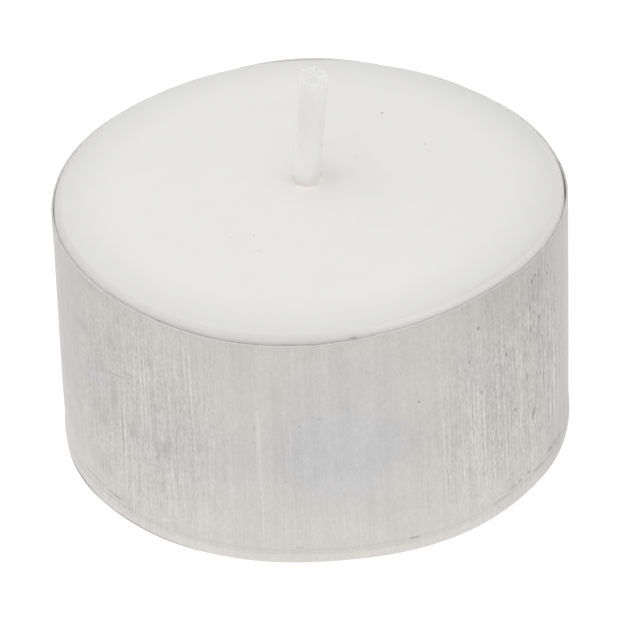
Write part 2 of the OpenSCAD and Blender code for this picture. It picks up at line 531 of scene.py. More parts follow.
PITS = (
    (22.9, 12.9, 0.13, 0.13),
    (49.9, 8.2, 0.25, 0.19),
    (-1.5, 0.4, 0.06, 0.16),
    (57.0, 6.6, 0.22, 0.85, -20.0),
    (57.8, 18.0, 0.22, 0.20),
    (59.2, 18.3, 0.18, 0.20),
    (56.6, 15.8, 0.09, 0.60),
    (65.0, 17.3, 0.22, 0.15),
    (56.8, 13.9, 0.09, 0.45),
    (60.8, 14.4, 0.24, 0.11),
    (39.0, 17.2, 0.20, 0.26),
    (47.4, 13.5, 0.13, 0.30),
    (36.1, 14.7, 0.08, 0.28),
    (61.9, 12.3, 0.10, 0.40),
)
FAINT_PITS = (
    (43.2, 16.5, 0.22, 0.13),
    (44.3, 14.9, 0.15, 0.20),
    (41.4, 14.0, 0.20, 0.14),
    (39.4, 11.6, 0.26, 0.20),
    (48.5, 17.9, 0.26, 0.11),
    (67.0, 16.4, 0.30, 0.12),
    (63.9, 14.9, 0.35, 0.10),
    (33.2, 13.7, 0.20, 0.12),
    (47.2, 9.4, 0.20, 0.10),
    (-3.5, 10.1, 0.12, 0.10),
    (-7.5, 7.2, 0.14, 0.12),
    (-14.2, 10.5, 0.16, 0.11),
    (0.3, 12.8, 0.30, 0.16),
    (-14.0, 11.8, 0.10, 0.40),
    (-4.2, 12.2, 0.13, 0.20),
    (-53.8, 18.2, 0.24, 0.10),
)
SMUDGES = (
    (-57.5, 19.0, 2.2, 0.6),
    (-51.7, 15.3, 0.8, 1.1),
    (-63.5, 14.7, 1.8, 0.8),
    (-56.5, 12.6, 1.0, 0.9),
    (-51.5, 10.3, 0.7, 1.2),
    (-56.5, 8.2, 1.7, 1.7),
    (-56.0, 3.6, 2.2, 1.2),
    (-45.8, 8.6, 0.5, 1.1),
    (-36.0, 8.2, 1.6, 0.9),
    (59.5, 17.0, 2.2, 2.2),
    (59.0, 13.5, 2.0, 1.6),
    (66.0, 10.5, 1.0, 1.8),
)
# Dirt by the groove, and two fine scratches
GROOVE_DIRT = (
    (-60.0, 1.75, 2.6, 0.08),
    (-52.5, 1.60, 1.2, 0.17),
    (-5.0, 1.40, 0.4, 0.10),
    (20.6, 1.15, 0.6, 0.12),
    (44.0, 1.30, 1.2, 0.10),
    (48.5, 1.60, 0.5, 0.12),
    (50.8, 1.70, 0.35, 0.16),
    (54.2, 1.75, 0.35, 0.20),
    (58.5, 1.35, 1.2, 0.20),
    (64.5, 1.70, 0.55, 0.30),
    (67.6, 1.70, 0.45, 0.30),
    (70.8, 1.50, 0.60, 0.28),
    (-49.8, 12.7, 1.5, 0.07, 11.0),
    (-45.8, 13.4, 1.0, 0.06, -5.0),
)


def marks_on_wall(recipe, wall, marks, soft=0.6):
    """One mask for a list of marks on the unrolled wall."""
    radius = WALL_R / MM
    return recipe.most(*[
        recipe.mark(
            wall, (math.radians(degrees) * radius, height), (half_w, half_h),
            turn=-math.radians(sum(turn)), soft=soft,
        )
        for degrees, height, half_w, half_h, *turn in marks
    ])


def centred(recipe, grain, detail):
    """Noise of that grain in mm, from about -0.4 to 0.4."""
    return recipe.add(recipe.noise(grain, detail), -0.5)


def drawn_aluminium(finish):
    """Drawn aluminium sheet: upright drag lines, cloudy zones, specks, pits and dirt by the groove.
    Painted shade darkens its sides, its upper right, the groove and the foot's bottom edge; painted
    reflection of the floor lightens its lower wall and the band below the groove; painted light lightens
    the inside of the wall and, with a wax film, the rim's cut edge.
    """
    recipe = Recipe("drawn_aluminium", finish.warm_metal)
    radius = WALL_R / MM
    around = recipe.math("ARCTAN2", recipe.x, recipe.times(recipe.y, -1.0))
    wall = recipe.combine(recipe.times(around, radius), recipe.z, 0.0)
    flat_place = recipe.combine(recipe.x, recipe.y, 0.0)
    normal = recipe.node("ShaderNodeNewGeometry").outputs["Normal"]
    outwards = recipe.times(recipe.dot(normal, flat_place), 1 / radius)
    upwards = recipe.dot(normal, (0.0, 0.0, 1.0))

    streak = centred(recipe, (0.15, 0.15, 3.2), 1.0)
    drag = centred(recipe, (0.24, 0.24, 16.0), 1.0)
    broad = centred(recipe, (1.2, 1.2, 14.0), 2.0)
    cloud = centred(recipe, (4.0, 4.0, 3.6), 3.0)
    patch = centred(recipe, (0.9, 0.9, 1.1), 3.0)
    grain = centred(recipe, (0.17, 0.17, 0.32), 1.0)
    tick = centred(recipe, (0.15, 0.15, 0.7), 1.0)

    left_zone = recipe.mark(wall, (-14.0, 10.0), (9.0, 13.0), soft=0.6)
    mottled = recipe.mark(wall, (-18.5, 9.0), (5.5, 12.0), soft=0.6)
    right_zone = recipe.mark(wall, (15.5, 9.5), (8.5, 13.0), soft=0.6)
    far_right = recipe.mark(wall, (20.5, 11.0), (4.8, 11.5), soft=0.5)
    far_side = recipe.rise(recipe.y, -6.0, 2.0, 0.0, 0.8)
    drawn_zone = recipe.most(left_zone, right_zone, far_right, far_side)
    streak_share = recipe.add(0.30, (drawn_zone, 0.70))
    grain_share = recipe.add(0.44, (recipe.most(drawn_zone, mottled), 0.56))
    tick_share = recipe.most(far_right, (right_zone, 0.55), (left_zone, 0.35), far_side)
    line_share = recipe.add(0.45, (drawn_zone, 0.55))
    edges = recipe.rise(recipe.math("ABSOLUTE", recipe.x), 7.0, 18.0)
    right_edge = recipe.rise(recipe.x, 15.6, 18.4)
    foot_edge = recipe.rise(outwards, 0.45, 0.62)
    fine_mask = recipe.rise(recipe.add(patch, (grain, 0.6)), -0.16, 0.10)
    groove_line = recipe.rise(recipe.math("ABSOLUTE", recipe.add(recipe.z, -1.18)), 0.14, 0.02)

    brightness = recipe.add(
        0.960,
        # Painted shade: darker towards both sides of the wall and towards its upper right.
        (edges, -0.050),
        (recipe.rise(recipe.x, -16.0, -18.8), -0.035),
        (right_edge, -0.050),
        (recipe.mark(wall, (17.2, 20.0), (10.5, 9.0), soft=1.0), -0.11),
        # Painted reflection of the floor: brighter towards the bottom of the wall.
        (recipe.rise(recipe.z, 9.0, 5.5), recipe.add(1.0, (right_edge, -0.9)), 0.050),
        (recipe.rise(recipe.z, 5.0, 2.5), recipe.add(1.0, (right_edge, -1.6)), 0.045),
        (broad, 0.10),
        (cloud, 0.12),
        (patch, grain_share, 0.20),
        (streak, streak_share, 0.24),
        (drag, streak_share, 0.33),
        (grain, grain_share, 0.38),
        (tick, tick_share, 0.34),
        (recipe.rise(tick, -0.09, -0.19), tick_share, -0.12),
        (marks_on_wall(recipe, wall, BRIGHT_LINES), line_share, 0.20),
        (marks_on_wall(recipe, wall, DARK_LINES), -0.18),
        (marks_on_wall(recipe, wall, PITS), -0.36),
        (marks_on_wall(recipe, wall, FAINT_PITS), -0.13),
        (marks_on_wall(recipe, wall, SMUDGES, 0.9), fine_mask, -0.13),
        (marks_on_wall(recipe, wall, GROOVE_DIRT), recipe.add(0.6, (grain, 2.4)), -0.36),
        # Painted shade in the groove, and painted reflection of the floor on the light band below it.
        (groove_line, recipe.add(0.6, (patch, 2.0)), -0.08),
        (recipe.rise(recipe.z, 1.12, 0.92), 0.08),
        # Painted shadow along the foot's bottom edge on the front left.
        (recipe.mark(wall, (-17.0, 0.0), (11.0, 0.25), soft=0.3), foot_edge, -0.80),
        (recipe.mark(wall, (-23.5, 0.1), (4.8, 0.42), soft=0.5), foot_edge, -0.55),
    )
    sway = recipe.combine(recipe.times(cloud, 5.0), recipe.times(patch, 2.4), 0.0)
    wavy = recipe.vector("ADD", wall, sway)
    cool_share = recipe.most(
        (recipe.mark(wavy, (1.4, 9.6), (6.2, 5.2), soft=0.35), 0.85),
        (recipe.mark(wavy, (2.2, 14.6), (5.2, 4.2), soft=0.4), 0.60),
        (recipe.mark(wavy, (-9.0, 8.6), (7.0, 3.4), soft=0.4), 0.50),
        (recipe.mark(wavy, (13.6, 13.0), (4.6, 2.0), turn=0.75, soft=0.4), 0.50),
        (recipe.mark(wavy, (-19.2, 11.4), (2.8, 1.2), turn=-0.3, soft=0.4), 0.45),
        (recipe.rise(recipe.z, 0.9, 0.4), edges, 0.45),
    )
    tone = recipe.mix(cool_share, finish.warm_metal, finish.cool_metal)

    inside = recipe.rise(outwards, -0.3, -0.8)
    # A wax film on the rim's cut edge, paler and less metallic, which also serves as painted light on
    # the rim's top.
    cut_edge = recipe.times(recipe.rise(upwards, 0.05, 0.45), recipe.rise(recipe.z, 15.0, 17.0))
    wax_film_and_painted_light = recipe.times(cut_edge, recipe.rise(patch, -0.15, 0.05, 0.80, 1.0))
    # Painted light: the inside of the wall lighter, most towards the back.
    painted_light_inside = recipe.times(inside, recipe.rise(recipe.y, 6.0, 16.0, 0.30, 0.95))
    drawn = recipe.tinted(tone, recipe.add(brightness, painted_light_inside))
    recipe.shade(
        base_color=recipe.mix(recipe.times(wax_film_and_painted_light, 0.9), drawn, (0.70, 0.69, 0.675)),
        metallic=recipe.add(1.0, (wax_film_and_painted_light, -0.8)),
        roughness=recipe.add(0.42, (streak, 0.10), (cloud, 0.10)),
    )
    relief = recipe.add((recipe.add(streak, drag), streak_share), (grain, 0.3))
    recipe.bump(relief, 0.35, 0.012 * MM)
    return recipe.material


# Specks on the wax, as (x, y, radius) in mm, two scratches as (x, y, half length, half width),
# and specks on the wick, as (place, half sizes)
WAX_SPECKS = ((5.74, 9.7, 0.14), (8.81, 5.05, 0.07), (3.64, 3.45, 0.06), (-4.1, -6.5, 0.07))
WAX_SCRATCHES = ((-3.85, -8.48, 0.50, 0.07), (-5.8, -6.6, 0.22, 0.05))
WICK_SPECKS = (
    ((1.05, 0.1, 24.15), (0.22, 0.30, 0.13)),
    ((0.10, 1.25, 30.00), (0.16, 0.35, 0.16)),
    ((0.98, 1.15, 29.95), (0.16, 0.30, 0.14)),
)


def glow_in_hole(recipe, wax_z, strength):
    """Light that soaks into the wick's hole, where it bounces more often than is traced."""
    foot = WICK_FOOT / MM
    flat = recipe.combine(recipe.x, recipe.y, 0.0)
    near = recipe.rise(recipe.distance(flat, (foot.x, foot.y, 0.0)), 1.3, 1.2)
    below = recipe.rise(recipe.z, wax_z / MM - 0.02, wax_z / MM - 0.06)
    shown = recipe.rise(recipe.z, wax_z / MM - 0.9, wax_z / MM - 0.5)
    return recipe.times(near, below, shown, strength)


def paraffin(finish, wax_z):
    """Matte white paraffin wax that light soaks into, with faint mottling and a few marks, painted shade
    towards its edge, on its shoulder and beside the wick, and painted light near the rim on the right.
    """
    recipe = Recipe("paraffin_wax", finish.wax)
    flat = recipe.combine(recipe.x, recipe.y, 0.0)
    mottle = recipe.noise((2.6, 2.6, 2.6), 2.0)
    lumps = recipe.noise((0.75, 0.75, 0.75), 3.0, roughness=0.6)
    frost = recipe.noise((0.12, 0.12, 0.12), 1.0)
    specks = recipe.most(*[
        recipe.mark(flat, (x, y), (size, size), soft=0.8) for x, y, size in WAX_SPECKS
    ])
    scratches = recipe.most(*[
        recipe.mark(flat, (x, y), (half_l, half_w), turn=0.05, soft=0.8)
        for x, y, half_l, half_w in WAX_SCRATCHES
    ])
    off_middle = recipe.distance(flat, (0.0, 0.0, 0.0))
    normal = recipe.node("ShaderNodeNewGeometry").outputs["Normal"]
    tilt = recipe.distance(recipe.vector("MULTIPLY", normal, (1.0, 1.0, 0.0)), (0.0, 0.0, 0.0))
    foot = WICK_FOOT / MM
    # A warmer tone by the wick, partly a yellowish tint in the wax and partly painted shade beside the
    # wick; on the tilted shoulder the warmer tone is painted shade.
    by_wick = recipe.rise(recipe.distance(flat, (foot.x + 0.3, foot.y, 0.0)), 2.6, 1.2)
    warm = recipe.most((by_wick, 0.22), recipe.rise(tilt, 0.12, 0.45, 0.0, 0.85))
    brightness = recipe.add(
        1.0,
        # Painted shade: darker towards the tablet's edge, and darker where its surface tilts on the
        # shoulder.
        recipe.rise(off_middle, 14.0, 19.2, 0.0, -0.08),
        recipe.rise(tilt, 0.12, 0.45, 0.0, -0.06),
        # Painted light: lighter near the rim on the right.
        (recipe.rise(off_middle, 18.2, 18.65), recipe.rise(recipe.x, -1.0, 8.0), 0.20),
        (recipe.add(mottle, -0.5), 0.030),
        (recipe.add(lumps, -0.5), 0.012),
        (specks, -0.65),
        (scratches, -0.20),
    )
    recipe.shade(
        base_color=recipe.tinted(recipe.mix(warm, finish.wax, finish.wick_foot), brightness),
        roughness=recipe.add(0.40, (lumps, 0.16)),
        subsurface_weight=0.9,
        subsurface_radius=(1.0, 0.98, 0.95),
        subsurface_scale=3.0 * MM,
        ior=1.43,
        emission_color=(1.0, 0.95, 0.87, 1.0),
        emission_strength=glow_in_hole(recipe, wax_z, 0.20),
    )
    recipe.bump(recipe.add((lumps, 0.8), (frost, 0.2)), 0.25, 0.03 * MM)
    return recipe.material


def waxed_cotton(finish, wax_z, lean):
    """Braided cotton soaked in wax, a little darker and yellower where it enters its hole, with painted
    shade on its upward faces and left side and painted light low down and on its right side.
    """
    recipe = Recipe("waxed_cotton", finish.wick)
    fibres = recipe.noise((0.11, 0.11, 1.6), 3.0)
    streaks = recipe.noise((0.42, 0.42, 5.0), 1.0)
    foot = recipe.rise(recipe.z, wax_z / MM + 1.1, wax_z / MM + 0.1)
    leaning = recipe.times(recipe.add(recipe.z, -wax_z / MM), -math.tan(lean))
    across = recipe.add(recipe.x, -WICK_FOOT.x / MM, leaning)
    specks = recipe.most(*[
        recipe.mark(recipe.place, centre, size, soft=0.7)
        for centre, size in WICK_SPECKS
    ])
    upwards = recipe.dot(recipe.node("ShaderNodeNewGeometry").outputs["Normal"], (0.0, 0.0, 1.0))
    brightness = recipe.add(
        1.0,
        # Painted shade: darker where the surface faces up.
        recipe.rise(upwards, 0.3, 0.8, 0.0, -0.05),
        # Painted light and shade: lighter near the wax, darker towards the cut end.
        recipe.rise(recipe.z, wax_z / MM + 0.2, wax_z / MM + 6.0, 0.110, -0.100),
        # Painted shade on the left side and painted light on the right side.
        recipe.rise(across, -0.9, 0.9, -0.070, 0.070),
        (recipe.add(fibres, -0.5), 0.035),
        (recipe.add(streaks, -0.5), 0.05),
        (specks, -0.30),
    )
    tone = recipe.mix(recipe.times(foot, 0.75), finish.wick, finish.wick_foot)
    recipe.shade(
        base_color=recipe.tinted(tone, brightness),
        roughness=recipe.add(0.56, (fibres, 0.12)),
        specular_ior_level=0.25,
        subsurface_weight=1.0,
        subsurface_radius=(1.0, 0.97, 0.92),
        subsurface_scale=4.0 * MM,
        emission_color=(1.0, 0.94, 0.83, 1.0),
        emission_strength=glow_in_hole(recipe, wax_z, 0.32),
    )
    recipe.bump(fibres, 0.3, 0.015 * MM)
    return recipe.material


def tinned_steel(finish):
    """Tinned steel strip with fine rolling lines across the disc."""
    recipe = Recipe("tinned_steel", finish.tin)
    lines = recipe.noise((5.0, 0.09, 5.0), 2.0)
    bloom = recipe.noise((1.4, 1.4, 1.4), 3.0)
    base = recipe.mix(recipe.times(bloom, 0.5), finish.tin, finish.warm_metal)
    recipe.shade(
        base_color=recipe.tinted(base, recipe.add(0.95, (lines, 0.1))),
        metallic=1.0,
        roughness=recipe.add(0.24, (bloom, 0.12), (lines, 0.06)),
    )
    recipe.bump(lines, 0.3, 0.01 * MM)
    return recipe.material


# Dents that put the cup and its wax out of round, as
# (degrees from the front, height, outwards, upwards, reach) in mm
DENTS = (
    (-15, 19.4, 0.22, 0.0, 11.0),
    (44, 19.4, -0.12, 0.44, 14.0),
    (94, 19.4, 0.05, 0.0, 10.0),
    (115, 19.4, 0.07, 0.0, 8.0),
    (-60, 19.4, -0.08, 0.04, 9.0),
    (88, 14.0, 0.07, 0.0, 8.0),
    (-115, 19.4, 0.09, 0.0, 8.0),
    (-33, 0.5, 0.30, 0.0, 9.0),
    (-12, 0.5, 0.12, 0.0, 5.0),
    (-56, 0.5, 0.10, 0.0, 5.0),
    (30, 0.5, 0.24, 0.0, 9.0),
    (-68, 0.5, 0.08, 0.0, 5.0),
    (-86, 0.5, -0.06, 0.0, 5.0),
    (85, 0.5, -0.09, 0.0, 7.0),
)
# Where the thin rim alone stands off, as (degrees from the front, outwards, upwards, reach) in mm
RIM_PUSHES = (
    (-15, 0.0, -0.16, 11.0),
    (-145, 0.0, -0.12, 8.0),
    (93, 0.10, 0.0, 5.5),
    (-94, 0.04, 0.0, 4.5),
    (180, 0.20, 0.22, 8.0),
    (148, 0.0, -0.12, 8.0),
    (125, 0.0, -0.02, 7.0),
)
# Where the wax stands proud of the rim, as (degrees from the front, upwards, reach) in mm
WAX_SWELLS = (
    (-88, 0.07, 10.0),
    (-50, 0.13, 11.0),
    (12, 0.13, 9.0),
    (48, 0.19, 12.0),
    (88, 0.08, 9.0),
    (180, 0.12, 10.0),
)
NICK_COUNT = 16
WALL_STATIONS = 26


def put_out_of_round(piece):
    """Dents the open piece, the cup or the wax that fills it."""
    for degrees, height, outwards, upwards, reach in DENTS:
        around = math.radians(degrees)
        move = at_angle(around, outwards * MM, upwards * MM)
        push(piece, at_angle(around, WALL_R, height * MM), move, reach * MM)


class TEALIGHT_OT_cup(Operator):
    """Draw the aluminium cup: a folded sheet turned on a lathe, its thin rim a little out of round"""

    bl_idname = "tealight.cup"
    bl_label = "Aluminium cup"

    def section(self, cup):
        """Half section, from the middle of the base round the rim to the middle of the floor."""
        panel_r = cup.foot_r - cup.ring_w
        panel_z = WAX_LOW.z - cup.sheet_t
        corners = [
            (0.0, panel_z, 0.0),
            (panel_r, panel_z, cup.bend_r),
            (panel_r + cup.slope_w, 0.0, cup.bend_r),
            (cup.foot_r, 0.0, cup.corner_r),
            (cup.foot_r, cup.groove_z - cup.groove_half_w, cup.groove_r),
            (cup.wall_r - cup.groove_depth, cup.groove_z, cup.groove_r),
            (cup.wall_r, cup.groove_z + cup.groove_half_w, cup.groove_r),
            (cup.wall_r, cup.rim_z - cup.edge_r, 0.0),
        ]
        outside = sheet_face(corners, 0.0, cup.sheet_t)
        inside = sheet_face(corners, cup.sheet_t, cup.sheet_t)
        first_z = cup.groove_z + 2 * cup.groove_half_w
        climb = (cup.rim_z - cup.edge_r - first_z) / WALL_STATIONS
        heights = [first_z + climb * step for step in range(WALL_STATIONS)]
        outer_wall = [(cup.wall_r, z) for z in heights]
        inner_wall = [(cup.wall_r - cup.sheet_t, z) for z in reversed(heights)]
        edge_z = cup.rim_z - cup.edge_r
        outer_edge = arc((cup.wall_r - cup.edge_r, edge_z), cup.edge_r, 0.0, math.pi / 2, 3)
        inner_centre = (cup.wall_r - cup.sheet_t + cup.edge_r, edge_z)
        inner_edge = arc(inner_centre, cup.edge_r, math.pi / 2, math.pi, 3)
        return (
            [tuple(p) for p in outside[:-1]] + outer_wall + outer_edge
            + inner_edge + inner_wall + [tuple(p) for p in reversed(inside[:-1])]
        )

    def execute(self, context):
        cup = context.scene.tealight_cup
        piece = lathe("cup_shell", self.section(cup), cup.steps)
        put_out_of_round(piece)
        rim_r = cup.wall_r - cup.sheet_t / 2
        for degrees, outwards, upwards, reach in RIM_PUSHES:
            around = math.radians(degrees)
            move = at_angle(around, outwards * MM, upwards * MM)
            push(piece, at_angle(around, rim_r, cup.rim_z), move, reach * MM)
        chance = random.Random(38)
        for nick in range(NICK_COUNT):
            around = math.tau * (nick + chance.random()) / NICK_COUNT
            near = min(piece_rim(piece, cup), key=lambda place: angle_between(place, around))
            move = at_angle(around, chance.uniform(-0.02, 0.03) * MM, chance.uniform(-0.07, 0.05) * MM)
            push(piece, near, move, chance.uniform(0.5, 1.6) * MM)
        finish_piece(piece, drawn_aluminium(context.scene.tealight_finish), "cup")
        return {"FINISHED"}


def piece_rim(piece, cup):
    """Places of the rim's vertices on the open piece."""
    shape = bmesh.from_edit_mesh(piece.data)
    return [
        v.co.copy() for v in shape.verts
        if v.co.z > cup.rim_z - 0.5 * MM and v.co.xy.length > cup.wall_r * 0.9
    ]


def angle_between(place, around):
    """How far a place lies from an angle counted from the front, in radians."""
    gap = math.atan2(place.x, -place.y) - around
    return abs(math.remainder(gap, math.tau))


DOME_STEPS = 26
SHOULDER_STEPS = 9
SIDE_STEPS = 10
HOLE_REACH = 7.5 * MM
HOLE_BLEND = 8 * MM
TOP_DEPTH = 2.2 * MM
# Unevenness of the wax's top, as (grain, height, how far from the axis it starts) in mm
WAX_GRAINS = ((3.4, 0.030, 2.0), (0.9, 0.010, 0.0))


class TEALIGHT_OT_wax(Operator):
    """Press the wax tablet: domed, with a rounded edge, a bevel beneath and the wick's hole"""

    bl_idname = "tealight.wax"
    bl_label = "Wax tablet"

    def section(self, wax):
        """Closed half section, from the disc's pocket up the hole, over the dome and back beneath."""
        shoulder_x = wax.side_r - wax.shoulder_r * math.cos(wax.shoulder_end)
        shoulder_z = wax.meet_z - wax.shoulder_r * math.sin(wax.shoulder_end)
        drop = wax.top_z - shoulder_z
        dome_r = (shoulder_x ** 2 + drop ** 2 - wax.shoulder_r ** 2) / (2 * (drop - wax.shoulder_r))
        dome_z = wax.top_z - dome_r
        edge_angle = math.asin(shoulder_x / (dome_r - wax.shoulder_r))
        mouth = wax.hole_r + wax.mouth_r
        mouth_z = dome_z + math.sqrt(dome_r ** 2 - mouth ** 2)
        dome_start = math.asin(mouth / dome_r)
        disc_r = (DISC_HIGH.x - DISC_LOW.x) / 2
        disc_top = WAX_LOW.z + DISC_T + wax.pocket_gap
        neck_top = DISC_HIGH.z + wax.pocket_gap
        neck_r = WICK_R + NECK_OUT + wax.pocket_gap
        pockets = [
            (disc_r + wax.pocket_gap, WAX_LOW.z),
            (disc_r + wax.pocket_gap, disc_top),
            (neck_r, disc_top),
            (neck_r, neck_top),
            (wax.hole_r, neck_top),
        ]
        ledge_z = mouth_z - wax.mouth_r - wax.ledge_drop
        ledge_r = wax.hole_r - wax.ledge_w
        bore = [
            (wax.hole_r, ledge_z - 2 * MM),
            (ledge_r, ledge_z - 1.5 * MM),
            (ledge_r, ledge_z),
            (wax.hole_r - 0.3 * wax.ledge_w, ledge_z + 0.5 * wax.ledge_w),
            (wax.hole_r, ledge_z + 1.5 * wax.ledge_w),
        ]
        lip = arc((mouth, mouth_z - wax.mouth_r), wax.mouth_r, math.pi, math.pi / 2, 4)
        dome = [
            (dome_r * math.sin(a), dome_z + dome_r * math.cos(a))
            for a in (
                dome_start + (edge_angle - dome_start) * (step / DOME_STEPS) ** 1.4
                for step in range(1, DOME_STEPS)
            )
        ]
        centre = (shoulder_x, shoulder_z)
        start = math.pi / 2 - edge_angle
        shoulder = arc(centre, wax.shoulder_r, start, wax.shoulder_end, SHOULDER_STEPS)
        side_l = wax.meet_z - WAX_LOW.z - wax.bevel
        side = [(wax.side_r, wax.meet_z - side_l * step / SIDE_STEPS) for step in range(1, SIDE_STEPS)]
        beneath = [
            (wax.side_r, WAX_LOW.z + wax.bevel),
            (wax.side_r - wax.bevel, WAX_LOW.z),
            (pockets[0][0] + 4 * MM, WAX_LOW.z),
            pockets[0],
        ]
        return pockets + bore + lip + dome + shoulder + side + beneath

    def execute(self, context):
        wax = context.scene.tealight_wax
        piece = lathe("wax_tablet", self.section(wax), wax.steps)
        pick(piece, lambda place: place.xy.length < HOLE_REACH)
        bpy.ops.transform.translate(
            value=(WICK_FOOT.x + wax.hole_shift, WICK_FOOT.y, 0.0), use_proportional_edit=True,
            proportional_edit_falloff="SMOOTH", proportional_size=HOLE_BLEND,
        )
        put_out_of_round(piece)
        for degrees, upwards, reach in WAX_SWELLS:
            edge = at_angle(math.radians(degrees), wax.side_r, wax.meet_z)
            push(piece, edge, (0.0, 0.0, upwards * MM), reach * MM)
        rest_selection()
        on_top = wax.top_z - TOP_DEPTH
        for grain, height, start_r in WAX_GRAINS:
            roughen(
                piece, grain * MM, height * MM,
                lambda place, start_r=start_r: place.z > on_top and place.xy.length > start_r * MM,
            )
        finish_piece(piece, paraffin(context.scene.tealight_finish, wax.top_z), "wax")
        return {"FINISHED"}


def stitch(around, along, columns, stitch_l):
    """Height of the braid from 0 to 1, where strands of two slants pass over each other."""
    first = columns * around / math.tau + along / stitch_l
    second = columns * around / math.tau - along / stitch_l
    first_height = math.sin(math.pi * (first % 1.0))
    second_height = math.sin(math.pi * (second % 1.0))
    first_on_top = (math.floor(first) + math.floor(second)) % 2 == 0
    top, under = (first_height, second_height) if first_on_top else (second_height, first_height)
    return max(0.65 * top + 0.35 * top * under, 0.45 * under)


# Where the wick shows its braid, how the braid fades near the cut, and how the cut frays
FINE_BELOW_BEND = 2 * MM
HIDDEN_STEPS = 12
COAT_FADE = 1.6 * MM
LUMP_H = 0.018 * MM
FRAY_L = 1.2 * MM
FRAY_GRAIN = 0.80 * MM
FRAY_H = 0.016 * MM
CUT_FALLS = Vector((0.55, -0.85, 0.0)).normalized()
# Rings of the cut end, as (rise in mm, size beside the ring before)
CAP_RINGS = ((0.05, 0.965), (0.03, 0.93), (0.0, 0.80), (0.0, 0.75), (0.0, 0.65), (0.0, 0.5))


